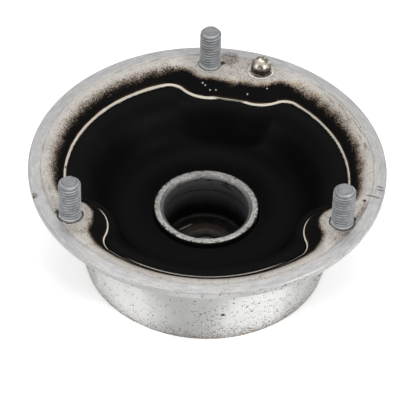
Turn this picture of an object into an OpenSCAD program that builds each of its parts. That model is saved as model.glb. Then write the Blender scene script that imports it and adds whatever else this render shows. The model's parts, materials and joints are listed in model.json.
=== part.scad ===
// Strut mount: a pressed housing with three studs carries, through bonded rubber,
// a sleeve with a ball bearing that lets the damper rod turn with the steering.
// Millimetres. The axis is Z and the lower edge of the skirt lies on Z = 0.

/* [Housing] */
// Outside diameter of the flange
flange_d = 130; // [124:1:140]
// Height of the flange's top face above the lower edge of the skirt
flange_h = 44.6; // [42:0.2:50]
// Thickness of the pressed sheet
sheet_t = 2.6; // [2:0.1:3]
// Outside diameter of the skirt at its lower edge
skirt_d = 90.4; // [86:0.2:94]
// Drop of the flare between the flange and the wall of the bowl
flare_drop = 6.1; // [5.5:0.1:6.5]
// Slope of that flare, in degrees
flare_slope = 45; // [42:1:48]
// Radius that eases the flare into the flange, on the top side
flare_r = 3.2; // [3:0.1:3.8]
// Width of the land between that flare and the lip
land_w = 2.7; // [2.4:0.1:3.2]
// Width of the plain lip round the flange
lip_w = 4.6; // [3:0.1:4.8]
// Height of that lip above the land inside it
lip_rise = 0.25; // [0.1:0.05:0.4]
// Rounding of the flange's outer edge
edge_r = 0.6; // [0.3:0.1:1]

/* [Studs] */
// Number of studs
stud_count = 3; // [2:1:3]
// Distance of a stud's axis from the flange's outer edge
stud_inset = 9.4; // [8.6:0.1:10.4]
// Thread diameter of a stud
stud_d = 8; // [6:1:8]
// Height of a stud above the land
stud_h = 16.2; // [12:0.2:25]
// Chamfer at the tip of a stud
stud_chamfer = 1.1; // [0.5:0.1:1.5]
// Diameter of the head under the flange
stud_head_d = 12; // [11:0.5:12]
// Thickness of that head
stud_head_t = 2.6; // [2:0.2:4]
// Radial room between the thread and its hole in the land
stud_hole_room = 0.4; // [0.2:0.1:0.6]
// Radius of the pad round a stud, up to the edge of its flare
pad_r = 7.4; // [7.3:0.1:7.8]
// Draw-back of the flute wall under a pad, in degrees
flute_lean = 3; // [2.5:0.5:5]
// Radius of the blend between a pad and the round of the bowl
blend_r = 6.5; // [5:0.5:8]

/* [Locating pin] */
// Direction of the pin from +X, in degrees
pin_angle = 69.8; // [67:0.2:73]
// Distance of the pin's axis from the flange's outer edge
pin_inset = 9.1; // [9:0.1:10]
// Diameter of the pin
pin_d = 7.6; // [6:0.1:7.6]
// Height of the straight part of the pin, up to its dome
pin_straight_h = 2.2; // [1.5:0.1:4]
// Diameter of the pin's shank in the sheet
pin_shank_d = 6; // [4:0.5:6]
// Thickness of the pin's peened foot under the sheet
pin_foot_t = 1.4; // [1:0.1:2]

/* [Rubber] */
// Height of the rubber's edge above the foot of the flare
rubber_up = 0.2; // [0.1:0.1:1]
// Radius of the shoulder behind the edge of the rubber
shoulder_r = 12.3; // [10:0.1:13]
// Slope of the rubber between shoulder and valley, in degrees
wall_slope = 65; // [60:1:68]
// Radius at which the valley of the rubber is deepest
valley_r = 28; // [26:0.5:30]
// Height of the valley above the lower edge of the skirt
valley_h = 19.6; // [19.2:0.1:21]
// Radius of the shoulder on the rubber over a flute
lobe_shoulder_r = 4; // [3:0.5:5]
// Slope of the rubber over a flute, in degrees
lobe_slope = 75; // [70:1:80]
// Height of the rubber's underside above the lower edge of the skirt
rubber_under_h = 4; // [3:0.5:6]
// Thickness of the rubber beside the groove in its underside
rubber_skin_t = 2.4; // [2:0.1:3]

/* [Sleeve] */
// Outside diameter of the sleeve's neck
neck_d = 38.8; // [38:0.2:40]
// Bore of the neck, the way in for a socket
neck_bore_d = 31.8; // [30:0.2:32]
// Height of the neck's top above the lower edge of the skirt
neck_h = 23; // [22:0.2:26]
// Height of the neck that stands out of the rubber
neck_proud = 1.6; // [1:0.1:2.5]
// Width of the chamfer inside the neck's top
neck_chamfer = 1.2; // [0.8:0.1:1.6]
// Wall of the sleeve round the bearing
bell_wall = 3.5; // [3.2:0.1:4.5]
// Thickness of the sleeve's roof above the bearing
roof_t = 2.8; // [2.6:0.1:3]

/* [Bearing] */
// Bore of the bearing
bearing_bore_d = 35; // [34.8:0.1:36]
// Outside diameter of the bearing
bearing_d = 55; // [54:0.5:56]
// Width of the bearing
bearing_w = 10; // [9:0.1:10.2]
// Height of the bearing's lower face above the lower edge of the skirt
bearing_h = 4.8; // [4.6:0.1:5]
// Diameter of a ball
ball_d = 6.35; // [5.5:0.05:6.6]
// Number of balls
ball_count = 13; // [9:1:14]
// Depth of a race in its ring, as radial room from the pitch circle to the ring's shoulder
race_shoulder = 1.6; // [1.4:0.1:1.9]
// Thickness of a seal
seal_t = 0.8; // [0.6:0.1:1]
// Thickness of the retaining ring under the bearing
ring_t = 2; // [1.5:0.1:2]

/* [Rod cup] */
// Diameter of the hole for the damper rod
rod_hole_d = 12.6; // [10:0.2:14]
// Thickness of the cup's floor
floor_t = 2.4; // [2:0.1:3]
// Height of the cup above the lower edge of the skirt
cup_lift = 0.8; // [0.5:0.1:1]

/* [Fits] */
// Gap between pieces that are pressed or bonded together
fit_gap = 0.04; // [0.02:0.01:0.06]
// Radial gap between a ball and its race or its cage pocket
race_gap = 0.06; // [0.04:0.01:0.08]
// Gap between pieces that turn past each other
run_gap = 0.5; // [0.4:0.05:0.6]

/* [Hidden] */
$fn = 96;
// Turn of one step of an arc in a section: a wide arc, an eased edge and a broken edge
arc_step = 10;
ease_step = 15;
edge_step = 30;

land_h = flange_h - lip_rise;
under_h = land_h - sheet_t;
lip_start_r = flange_d / 2 - lip_w;
flare_edge_r = lip_start_r - land_w;
flare_run = flare_drop / tan(flare_slope);
flare_foot_r = flare_edge_r - flare_run;
flare_foot_h = land_h - flare_drop;
// The skirt's wall leans from its foot to the foot of the flare
wall_reach = [flare_foot_r - skirt_d / 2, flare_foot_h];
skirt_lean = atan2(wall_reach[0], wall_reach[1]) + asin(sheet_t / norm(wall_reach));
wall_rise = tan(skirt_lean);
bowl_foot_r = flare_foot_r - flare_foot_h * wall_rise;
// The underside of the flare runs parallel to its top, from the skirt to the flange
under_edge_r = flare_edge_r + sheet_t * tan(flare_slope / 2);
under_foot_h = (land_h - (flare_edge_r - skirt_d / 2) * tan(flare_slope) - sheet_t / cos(flare_slope))
    / (1 - wall_rise * tan(flare_slope));
under_foot_r = skirt_d / 2 + under_foot_h * wall_rise;

stud_circle_r = flange_d / 2 - stud_inset;
stud_r = stud_d / 2;
stud_hole_r = stud_r + stud_hole_room;
stud_angles = [for (i = [0:stud_count - 1]) 90 + i * 360 / stud_count];
// Knurled collar of a stud, which ends short of the land's top
knurl_top_drop = 0.9;
head_edge = 0.4;
// Relief between that collar and the thread
relief_depth = 0.4;
pin_circle_r = flange_d / 2 - pin_inset;
pin_shank_r = pin_shank_d / 2;

// A flute's form: radius of its pad, drop of its flare, lean of its wall, easing of its edge
flute_form = [pad_r, flare_drop, flute_lean, flare_r];
// The wall between a stud and the pin beside it stands and leans back a little, with a
// shorter flare and a softer edge; its pad reaches outward and its sheet is thicker
bridge_inset = 0.5;
bridge_cut = 0.5;
bridge_lean = flute_lean + 1;
bridge_soft = 0.8;
bridge_gain = 0.3;
bridge_reach = 5;
bridge_step = arc_step + 1;
bridge_t = sheet_t + bridge_gain;
bridge_form = [pad_r - bridge_inset, flare_drop - bridge_cut, bridge_lean, flare_r + bridge_soft];
// The blends cross the walls instead of running out on them, with an edge a little softer
blend_bite = 0.05;
blend_soft = 0.4;
blend_ease = flare_r + blend_soft;
blend_depth = 2 * flare_drop;
blend_reach_r = (flare_edge_r + lip_start_r) / 2;

rubber_edge_h = flare_foot_h + rubber_up;
rubber_edge_r = flare_foot_r + rubber_up / tan(flare_slope);
neck_r = neck_d / 2;
neck_bore_r = neck_bore_d / 2;
bearing_r = bearing_d / 2;
bearing_bore_r = bearing_bore_d / 2;
bearing_top = bearing_h + bearing_w;
bearing_mid_h = bearing_h + bearing_w / 2;
pitch_r = (bearing_r + bearing_bore_r) / 2;
ball_r = ball_d / 2;
inner_shoulder_r = pitch_r - race_shoulder;
outer_shoulder_r = pitch_r + race_shoulder;
ring_edge = 0.4;
bell_r = bearing_r + bell_wall;
roof_h = bearing_top + roof_t;
roof_round = 3;
neck_fillet = 1.2;
// The roof bears on the outer ring only, and clears everything that turns
roof_seat_r = outer_shoulder_r + run_gap;
cup_lip_t = 0.8;
cup_lip_out = 1.1;
cup_lip_h = bearing_top + 2 * fit_gap;
cup_top = cup_lip_h + cup_lip_t;
ceiling_h = cup_top + run_gap;

groove_depth = 1.4;
groove_bottom = bearing_h - ring_t - 2 * fit_gap;
ring_in = 2.4;
ring_opening = 34;
ear_r = 2.6;
// Turn from an edge of the opening to the middle of its eye
ear_back = 2.6;
ear_turn = ring_opening / 2 + ear_back;
ear_hole_r = 1;
// Wall of the sleeve left under the groove
groove_foot = 1.4;
bell_foot_h = groove_bottom - groove_foot;

seal_inset = 0.6;
seal_seat = 0.5;
lower_seal_h = bearing_h + seal_inset;
upper_seal_h = bearing_top - seal_inset - seal_t;
cage_t = 1.8;
cage_foot = 3.4;
cage_top = 0.9;

cup_wall_r = bearing_bore_r - fit_gap;
cup_bore_r = neck_bore_r;
// The cup's flange ends just inside the inner ring's shoulder
cup_flange_inset = 0.2;
cup_flange_r = inner_shoulder_r - cup_flange_inset;
cup_floor_h = cup_lift + floor_t;
cup_corner = 1.6;
cup_foot_chamfer = 1.6;
rod_hole_r = rod_hole_d / 2;
rod_chamfer_w = 2;
rod_chamfer_h = 0.9;

balls = [for (i = [1:ball_count]) str("bearing_ball_", i)];

// Points of an arc round c, from angle a0 to angle a1, in steps of about the given turn
function arc(c, r, a0, a1, step = arc_step) =
    let (steps = ceil(abs(a1 - a0) / (r < sheet_t ? edge_step : step)))
    [for (i = [0:steps])
        let (a = a0 + (a1 - a0) * i / steps)
        [c[0] + r * cos(a), c[1] + r * sin(a)]];

function polar(r, a) = [r * cos(a), r * sin(a)];

// Eased edge of a flare round the axis that meets the land at edge_r, grown by g
function eased_edge(edge_r, ease_r, g) =
    arc([edge_r + ease_r * tan(flare_slope / 2), land_h - ease_r], ease_r + g,
        90 + flare_slope, 90, ease_step);

// Inside radius of the bowl's wall at height h
function bowl_r(h) = bowl_foot_r + h * wall_rise;

// Places of the studs and of the pin
stud_places = [for (a = stud_angles) polar(stud_circle_r, a)];
pin_place = polar(pin_circle_r, pin_angle);
bridge_run = stud_places[0] - pin_place;
bridge_turn = atan2(bridge_run[1], bridge_run[0]) + 90;

// Ends of each flute: [angle, distance from the axis, side of the blend]
flute_ends = concat(
    [[stud_angles[0], stud_circle_r, 1], [pin_angle, pin_circle_r, -1]],
    [for (i = [1:stud_count - 1], side = [-1, 1]) [stud_angles[i], stud_circle_r, side]]);

// Section of the sheet, from the skirt's foot to the flange's edge and back
housing_section = concat(
    [[bowl_foot_r, 0]],
    [[flare_foot_r, flare_foot_h]],
    eased_edge(flare_edge_r, flare_r, 0),
    [[lip_start_r, land_h], [lip_start_r + lip_rise, flange_h]],
    arc([flange_d / 2 - edge_r, flange_h - edge_r], edge_r, 90, 0),
    arc([flange_d / 2 - edge_r, under_h + edge_r], edge_r, 0, -90),
    [[under_edge_r, under_h], [under_foot_r, under_foot_h], [skirt_d / 2, 0]]);

// Filled form of the skirt and the land, which bounds what stands in the bowl
housing_envelope = concat(
    [[0, 0], [skirt_d / 2, 0]],
    [[under_foot_r, under_foot_h], [under_edge_r, under_h]],
    [[lip_start_r, under_h], [lip_start_r, land_h], [0, land_h]]);

// Section of a flute from start outward, grown by g
function flute_section(start, form, g) =
    let (flare_out = [sin(flare_slope), cos(flare_slope)])
    let (wall_out = [cos(form[2]), -sin(form[2])])
    let (grow = g * (flare_out + wall_out) / (1 + flare_out * wall_out))
    let (corner = [form[0] + form[1] / tan(flare_slope), land_h - form[1]] + grow)
    let (c = [form[0] - form[3] * tan(flare_slope / 2), land_h - form[3]])
    concat(
        [[start, 0], [corner[0] - corner[1] * tan(form[2]), 0], corner],
        arc(c, form[3] + g, 90 - flare_slope, 90, ease_step),
        [[start, land_h + g]]);

// Section of the rubber's lobe over a flute
function lobe_section(flat, step) =
    let (c = [flat + flare_run, rubber_edge_h - lobe_shoulder_r])
    let (end_r = c[0] + lobe_shoulder_r * sin(lobe_slope))
    let (end_h = c[1] + lobe_shoulder_r * cos(lobe_slope))
    let (foot = end_r + (end_h - valley_h) / tan(lobe_slope))
    concat([[0, valley_h], [foot, valley_h]],
        arc(c, lobe_shoulder_r, 90 - lobe_slope, 90, step),
        [[0, rubber_edge_h]]);

// A section turned round every stud and the pin, with a straight run between
// the pin and the stud beside it
module round_flutes(around, between) {
    for (p = concat(stud_places, [pin_place]))
        translate(p)
            rotate_extrude()
                polygon(around);
    translate(pin_place)
        rotate([0, 0, bridge_turn])
            rotate([90, 0, 0])
                linear_extrude(norm(bridge_run))
                    polygon(between);
}

// All flutes, grown by g, and by bridge_g between the pin and its stud
module flutes(g, bridge_g) {
    round_flutes(
        flute_section(0, flute_form, g),
        flute_section(-bridge_reach, bridge_form, bridge_g));
}

// Metal that rounds off the corner between a flute and the bowl, grown by g
module blend(place, g) {
    foot_h = flare_foot_h + g * tan(45 - flare_slope / 2);
    edge = eased_edge(blend_r + flare_run, blend_ease, g);
    near = flare_foot_r - blend_r + blend_bite;
    far = pad_r + flare_run + blend_r - blend_bite;
    apart = acos((near * near + place[1] * place[1] - far * far) / (2 * near * place[1]));
    centre = polar(near, place[0] + place[2] * apart);
    difference() {
        translate([0, 0, land_h - blend_depth - g])
            linear_extrude(blend_depth + g)
                polygon([centre, polar(blend_reach_r, place[0] + place[2] * apart),
                    polar(blend_reach_r, place[0]), polar(place[1], place[0])]);
        translate(centre)
            rotate_extrude()
                polygon(concat(
                    [[0, 0], [blend_r - g, 0], [blend_r - g, foot_h]],
                    edge,
                    [[edge[len(edge) - 1][0], 2 * flange_h], [0, 2 * flange_h]]));
    }
}

// The pressed sheet before its holes
module pressing() {
    difference() {
        union() {
            rotate_extrude()
                polygon(housing_section);
            intersection() {
                union() {
                    flutes(0, 0);
                    for (place = flute_ends)
                        blend(place, 0);
                }
                rotate_extrude()
                    polygon(housing_envelope);
            }
        }
        flutes(-sheet_t, -bridge_t);
    }
}

module housing() {
    color("silver")
        difference() {
            pressing();
            for (p = stud_places)
                translate([p[0], p[1], under_h - sheet_t])
                    cylinder(r = stud_hole_r, h = 3 * sheet_t);
            translate([pin_place[0], pin_place[1], under_h - sheet_t])
                cylinder(r = pin_shank_r + fit_gap, h = 3 * sheet_t);
        }
}

// Upper surface of the rubber from its edge to the neck of the sleeve
function rubber_top() =
    let (c = [rubber_edge_r, rubber_edge_h - shoulder_r])
    let (end = [c[0] - shoulder_r * sin(wall_slope), c[1] + shoulder_r * cos(wall_slope)])
    let (across = end[0] - valley_r, down = end[1] - valley_h)
    let (hollow_r = (across * sin(wall_slope) - down * cos(wall_slope)) / (1 - cos(wall_slope)))
    let (rise = neck_h - neck_proud - valley_h, reach = valley_r - neck_r)
    let (rise_r = (reach * reach + rise * rise) / (2 * rise))
    concat(
        arc(c, shoulder_r, 90, 90 + wall_slope),
        arc([valley_r, valley_h + hollow_r], hollow_r, wall_slope - 90, -90),
        arc([valley_r, valley_h + rise_r], rise_r, -90, -90 - asin(reach / rise_r)));

// Surface of the sleeve that the rubber is bonded to, from the neck down, grown by g
function sleeve_outside(g) =
    concat(
        arc([neck_r + neck_fillet, roof_h + neck_fillet], neck_fillet - g, 180, 270),
        arc([bell_r - roof_round, roof_h - roof_round], roof_round + g, 90, 0));

// Groove in the underside of the rubber, between the skins on the sleeve and on the bowl
function rubber_under() =
    let (in_r = bell_r + fit_gap, out_r = bowl_r(rubber_under_h) - fit_gap)
    let (mid = (in_r + out_r) / 2, groove_r = (out_r - in_r) / 2 - rubber_skin_t)
    concat(
        [[in_r, rubber_under_h]],
        arc([mid, rubber_under_h], groove_r, 180, 0),
        [[out_r, rubber_under_h]]);

module rubber_bush() {
    color([0.09, 0.09, 0.1])
        difference() {
            intersection() {
                rotate_extrude()
                    polygon(concat(
                        [[neck_r + fit_gap, flange_h]],
                        sleeve_outside(fit_gap),
                        rubber_under(),
                        [[flare_foot_r - fit_gap, flare_foot_h],
                            [flare_foot_r - fit_gap + (flange_h - flare_foot_h) / tan(flare_slope),
                                flange_h]]));
                union() {
                    rotate_extrude()
                        polygon(concat(
                            [[0, 0], [flange_d / 2, 0], [flange_d / 2, rubber_edge_h]],
                            rubber_top(),
                            [[0, neck_h - neck_proud]]));
                    round_flutes(
                        lobe_section(pad_r, arc_step),
                        lobe_section(pad_r - bridge_inset, bridge_step));
                }
            }
            flutes(fit_gap, fit_gap);
            for (place = flute_ends)
                blend(place, fit_gap);
        }
}

module bearing_sleeve() {
    seat_r = bearing_r + fit_gap;
    color([0.75, 0.76, 0.77])
        rotate_extrude()
            polygon(concat(
                [[neck_bore_r, ceiling_h], [neck_bore_r, neck_h - neck_chamfer],
                    [neck_bore_r + neck_chamfer, neck_h]],
                arc([neck_r - edge_r, neck_h - edge_r], edge_r, 90, 0),
                sleeve_outside(0),
                [[bell_r, bell_foot_h], [seat_r, bell_foot_h], [seat_r, groove_bottom],
                    [seat_r + groove_depth, groove_bottom], [seat_r + groove_depth, bearing_h],
                    [seat_r, bearing_h], [seat_r, bearing_top], [roof_seat_r, bearing_top],
                    [roof_seat_r, ceiling_h]]));
}

module rod_cup() {
    lip_r = cup_wall_r + cup_lip_out;
    color([0.42, 0.33, 0.25])
        rotate_extrude()
            polygon(concat(
                [[rod_hole_r, cup_lift], [cup_flange_r - cup_foot_chamfer, cup_lift],
                    [cup_flange_r, cup_lift + cup_foot_chamfer], [cup_flange_r, bearing_h],
                    [cup_wall_r, bearing_h], [cup_wall_r, cup_lip_h], [lip_r, cup_lip_h],
                    [lip_r, cup_top], [cup_bore_r, cup_top]],
                arc([cup_bore_r - cup_corner, cup_floor_h + cup_corner], cup_corner, 0, -90),
                [[rod_hole_r + rod_chamfer_w, cup_floor_h],
                    [rod_hole_r, cup_floor_h - rod_chamfer_h]]));
}

// A bearing ring from in_r to out_r, with broken edges
module ring_blank(in_r, out_r) {
    rotate_extrude()
        polygon([[in_r + ring_edge, bearing_h], [out_r - ring_edge, bearing_h],
            [out_r, bearing_h + ring_edge], [out_r, bearing_top - ring_edge],
            [out_r - ring_edge, bearing_top], [in_r + ring_edge, bearing_top],
            [in_r, bearing_top - ring_edge], [in_r, bearing_h + ring_edge]]);
}

module ball_race() {
    translate([0, 0, bearing_mid_h])
        rotate_extrude()
            translate([pitch_r, 0])
                circle(r = ball_r + race_gap);
}

// Space of a seal from in_r to out_r whose lower face is at h
module seal_ring(in_r, out_r, h, t) {
    translate([0, 0, h])
        difference() {
            cylinder(r = out_r, h = t);
            translate([0, 0, -t])
                cylinder(r = in_r, h = 3 * t);
        }
}

module seal_seats() {
    for (h = [lower_seal_h, upper_seal_h])
        seal_ring(pitch_r, outer_shoulder_r + seal_seat, h - fit_gap, seal_t + 2 * fit_gap);
}

module bearing_outer_ring() {
    color([0.6, 0.61, 0.63])
        difference() {
            ring_blank(outer_shoulder_r, bearing_r);
            ball_race();
            seal_seats();
        }
}

module bearing_inner_ring() {
    color([0.6, 0.61, 0.63])
        difference() {
            ring_blank(bearing_bore_r, inner_shoulder_r);
            ball_race();
        }
}

// Place of one ball
function ball_place(i) = concat(polar(pitch_r, i * 360 / ball_count), [bearing_mid_h]);

module bearing_cage() {
    color([0.3, 0.27, 0.2])
        difference() {
            seal_ring(pitch_r - cage_t / 2, pitch_r + cage_t / 2,
                bearing_mid_h - cage_foot, cage_foot + cage_top);
            for (i = [1:ball_count])
                translate(ball_place(i))
                    sphere(r = ball_r + race_gap);
        }
}

module bearing_ball(i) {
    color([0.7, 0.71, 0.73])
        translate(ball_place(i))
            sphere(r = ball_r);
}

module bearing_seal(h) {
    color([0.25, 0.14, 0.08])
        seal_ring(inner_shoulder_r + run_gap, outer_shoulder_r + seal_seat - fit_gap, h, seal_t);
}

module upper_seal() {
    bearing_seal(upper_seal_h);
}

module lower_seal() {
    bearing_seal(lower_seal_h);
}

// Spring ring in the groove under the bearing, open between two eyes for pliers
module retaining_ring() {
    out_r = bearing_r + groove_depth - 2 * fit_gap;
    in_r = bearing_r - ring_in;
    color([0.2, 0.2, 0.22])
        translate([0, 0, bearing_h - ring_t - fit_gap])
            difference() {
                union() {
                    difference() {
                        cylinder(r = out_r, h = ring_t);
                        translate([0, 0, -ring_t])
                            cylinder(r = in_r, h = 3 * ring_t);
                        translate([0, 0, -ring_t])
                            linear_extrude(3 * ring_t)
                                polygon([[0, 0], polar(2 * out_r, 270 - ring_opening / 2),
                                    polar(2 * out_r, 270 + ring_opening / 2)]);
                    }
                    for (side = [-1, 1])
                        translate(polar(in_r, 270 + side * ear_turn))
                            cylinder(r = ear_r, h = ring_t);
                }
                for (side = [-1, 1])
                    translate(polar(in_r, 270 + side * ear_turn))
                        translate([0, 0, -ring_t])
                            cylinder(r = ear_hole_r, h = 3 * ring_t);
            }
}

module mounting_studs() {
    knurl_r = stud_hole_r - fit_gap;
    head_r = stud_head_d / 2;
    relief_r = stud_r - relief_depth;
    knurl_top = land_h - knurl_top_drop;
    foot = under_h - stud_head_t;
    tip = land_h + stud_h;
    color([0.55, 0.58, 0.6])
        for (p = stud_places)
            translate(p)
                rotate_extrude()
                    polygon([[0, foot], [head_r - head_edge, foot], [head_r, foot + head_edge],
                        [head_r, under_h], [knurl_r, under_h], [knurl_r, knurl_top],
                        [relief_r, knurl_top], [relief_r, flange_h],
                        [stud_r, flange_h + relief_depth], [stud_r, tip - stud_chamfer],
                        [stud_r - stud_chamfer, tip], [0, tip]]);
}

module locating_pin() {
    pin_r = pin_d / 2;
    foot_r = pin_r;
    collar_r = pin_r + edge_r;
    foot = under_h - pin_foot_t;
    dome_h = land_h + pin_straight_h;
    color([0.78, 0.75, 0.7])
        translate(pin_place)
            rotate_extrude()
                polygon(concat(
                    [[0, foot], [foot_r - head_edge, foot], [foot_r, foot + head_edge],
                        [foot_r, under_h], [pin_shank_r, under_h], [pin_shank_r, land_h],
                        [collar_r, land_h], [collar_r, land_h + edge_r], [pin_r, land_h + edge_r]],
                    arc([0, dome_h], pin_r, 0, 90)));
}

housing();
rubber_bush();
bearing_sleeve();
rod_cup();
bearing_outer_ring();
bearing_inner_ring();
bearing_cage();
upper_seal();
lower_seal();
retaining_ring();
mounting_studs();
locating_pin();
for (i = [1:ball_count])
    bearing_ball(i);
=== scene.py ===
# %% [markdown]
# A strut mount joins the top of a damper to the body of a car. This lesson dresses its packed
# model in Blender: the solids come in as a fixed frame, and each piece then gets clean shading,
# the detail that the solids leave out, and a finish made of shader nodes. The frame could be
# modelled again from nothing, but then the pieces would no longer fit the solids that move.

# %% Load the frame
import json
import math
import bpy
from mathutils import Matrix, Vector

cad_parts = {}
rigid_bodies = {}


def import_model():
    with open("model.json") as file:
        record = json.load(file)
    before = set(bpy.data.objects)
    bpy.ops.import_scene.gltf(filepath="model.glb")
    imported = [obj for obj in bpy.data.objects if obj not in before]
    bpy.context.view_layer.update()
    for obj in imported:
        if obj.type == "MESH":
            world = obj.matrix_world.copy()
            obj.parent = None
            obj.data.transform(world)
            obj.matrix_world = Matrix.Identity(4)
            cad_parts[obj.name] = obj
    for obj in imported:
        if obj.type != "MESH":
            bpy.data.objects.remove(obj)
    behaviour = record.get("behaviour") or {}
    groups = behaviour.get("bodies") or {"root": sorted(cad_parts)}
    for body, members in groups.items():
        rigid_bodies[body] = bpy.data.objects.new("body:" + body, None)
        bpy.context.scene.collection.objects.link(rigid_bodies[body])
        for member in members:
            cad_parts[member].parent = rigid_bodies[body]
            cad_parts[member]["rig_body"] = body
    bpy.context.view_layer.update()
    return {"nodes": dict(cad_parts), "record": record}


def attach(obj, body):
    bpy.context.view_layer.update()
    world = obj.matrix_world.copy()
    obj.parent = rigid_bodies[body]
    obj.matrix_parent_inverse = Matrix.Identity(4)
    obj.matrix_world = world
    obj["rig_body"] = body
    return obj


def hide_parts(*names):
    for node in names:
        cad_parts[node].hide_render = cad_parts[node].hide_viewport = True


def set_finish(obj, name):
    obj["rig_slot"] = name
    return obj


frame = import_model()
MM = 0.001
print("nodes in the frame:", len(frame["nodes"]))

# %% [markdown]
# The picture was taken with a long lens from above the front. A camera can be placed by eye,
# but here its place was fitted to the rims, the studs and the skirt, whose sizes are known. The
# numbers below are that fit: the angle above the floor, the distance, a slight roll, and how far
# the view is off the middle. A long lens keeps the circles even, as they are on the photograph.

# %% Place the camera
FRAME_PX = 400
FOCAL_PX = 2297.909
SENSOR_MM = 36
ELEVATION_DEG = 44.296
ROLL_DEG = -1.565
DISTANCE = 0.863828
OFF_RIGHT = -0.002364
OFF_UP = 0.018626
elevation = math.radians(ELEVATION_DEG)
roll = math.radians(ROLL_DEG)
back = Vector((0, -math.cos(elevation), math.sin(elevation)))
rise = Vector((0, math.sin(elevation), math.cos(elevation)))
across = Vector((1, 0, 0))
camera_x = math.cos(roll) * across - math.sin(roll) * rise
camera_y = math.sin(roll) * across + math.cos(roll) * rise
camera_place = DISTANCE * back + OFF_RIGHT * across + OFF_UP * rise

bpy.ops.object.camera_add(location=camera_place)
camera = bpy.context.active_object
camera.name = "photo_camera"
camera.matrix_world = Matrix.LocRotScale(
    camera_place, Matrix((camera_x, camera_y, back)).transposed(), None)
camera.data.sensor_width = SENSOR_MM
camera.data.lens = SENSOR_MM * FOCAL_PX / FRAME_PX
camera.data.clip_start = 0.01
bpy.context.scene.camera = camera
print("lens in millimetres:", round(camera.data.lens, 1))

# %% [markdown]
# The pressed and turned pieces already have their shape in the frame, down to the flutes behind
# the studs. What a CAD mesh lacks is shading: its triangles are loose, so every one shows. A copy
# is merged at its corners, shaded smooth except over real edges, and given weighted normals, so
# that large faces set the shading and thin triangles don't. The copy then stands for its node.

# %% Make finished copies of the turned and pressed pieces
SHARP_DEG = 35
MERGE_GAP = 0.002 * MM


def only(piece):
    """Selects one object and nothing else."""
    bpy.ops.object.select_all(action="DESELECT")
    piece.select_set(True)
    bpy.context.view_layer.objects.active = piece


def apply_modifier(piece, name, kind, **options):
    """Adds a modifier, sets its options and applies it."""
    only(piece)
    modifier = piece.modifiers.new(name, kind)
    for option, value in options.items():
        setattr(modifier, option, value)
    bpy.ops.object.modifier_apply(modifier=modifier.name)


def smooth_over(piece, angle):
    """Smooth shading that stops at edges sharper than the angle."""
    only(piece)
    bpy.ops.object.shade_smooth_by_angle(angle=math.radians(angle))
    apply_modifier(piece, "even_normals", "WEIGHTED_NORMAL", keep_sharp=True)


def finished_copy(node):
    """A merged and smoothly shaded copy of a CAD node, which it stands for."""
    source = frame["nodes"][node]
    only(source)
    bpy.ops.object.duplicate()
    piece = bpy.context.active_object
    bpy.ops.object.parent_clear(type="CLEAR_KEEP_TRANSFORM")
    body = piece["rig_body"]
    for key in [key for key in piece.keys() if key.startswith("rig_")]:
        del piece[key]
    piece.name = node + "_finish"
    piece.data.materials.clear()
    bpy.ops.mesh.customdata_custom_splitnormals_clear()
    bpy.ops.object.mode_set(mode="EDIT")
    bpy.ops.mesh.select_all(action="SELECT")
    bpy.ops.mesh.remove_doubles(threshold=MERGE_GAP)
    bpy.ops.object.mode_set(mode="OBJECT")
    smooth_over(piece, SHARP_DEG)
    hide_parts(node)
    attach(piece, body)
    slots = [part["material_slot"] for part in frame["record"]["subparts"] if part["node"] == node]
    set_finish(piece, slots[0])
    return piece


pieces = {}
for node in frame["nodes"]:
    if node != "mounting_studs":
        pieces[node] = finished_copy(node)
print("finished copies:", len(pieces))

# %% [markdown]
# The solid rubber has hard creases where its lobes over the stud pads meet the bowl, but a mould
# leaves soft ones. A bevel on hundreds of thin triangles would tear, so the copy is first cut
# into even cells by a voxel remesh. A light smoothing takes away the steps of the cells, and a
# long one, held to the open upper side by a vertex group, lets the lobes flow into the bowl.

# %% Soften the creases of the rubber
RUBBER_CELL = 0.75 * MM
SETTLE_ROUNDS = 3
RELAX_ROUNDS = 30
LOBES_BELOW = 37 * MM
LOBES_BEYOND = 21.5 * MM
FACES_UP = 0.02
rubber_piece = pieces["rubber_bush"]
apply_modifier(rubber_piece, "even_cells", "REMESH", mode="VOXEL", voxel_size=RUBBER_CELL)
apply_modifier(rubber_piece, "settle", "SMOOTH", iterations=SETTLE_ROUNDS)
open_side = rubber_piece.vertex_groups.new(name="open_side")
for corner in rubber_piece.data.vertices:
    beyond = math.hypot(corner.co.x, corner.co.y) > LOBES_BEYOND
    if corner.normal.z > FACES_UP and corner.co.z < LOBES_BELOW and beyond:
        open_side.add([corner.index], 1.0, "REPLACE")
apply_modifier(rubber_piece, "relax", "SMOOTH",
               iterations=RELAX_ROUNDS, vertex_group=open_side.name)
bpy.ops.object.shade_smooth()
print("faces of the softened rubber:", len(rubber_piece.data.polygons))

# %% [markdown]
# Each stud carries a coarse M8 thread, 1.25 millimetres a turn. A bump could fake it, but the
# outline of the stud shows its ridges, so the thread is real. One tooth of the thread is drawn
# as a short chain of edges, and the Screw modifier winds it up the stud. Cutting the two ends
# flat closes the winding, and a turned blank with a bevelled tip trims it to length.

# %% Wind the thread
THREAD_PITCH = 1.25 * MM
THREAD_ROOT_R = 3.4 * MM
THREAD_CREST_R = 4 * MM
THREAD_STEPS = 40
STUD_FOOT = 43.2 * MM
STUD_TIP = 60.55 * MM
PAST_TIP = 0.4 * MM
WELD_GAP = 0.004 * MM


def edge_chain(name, points):
    """A chain of edges in the XZ plane, given as radius and height."""
    mesh = bpy.data.meshes.new(name)
    edges = [(i, i + 1) for i in range(len(points) - 1)]
    mesh.from_pydata([(r, 0, h) for r, h in points], edges, [])
    chain = bpy.data.objects.new(name, mesh)
    bpy.context.scene.collection.objects.link(chain)
    return chain


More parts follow.
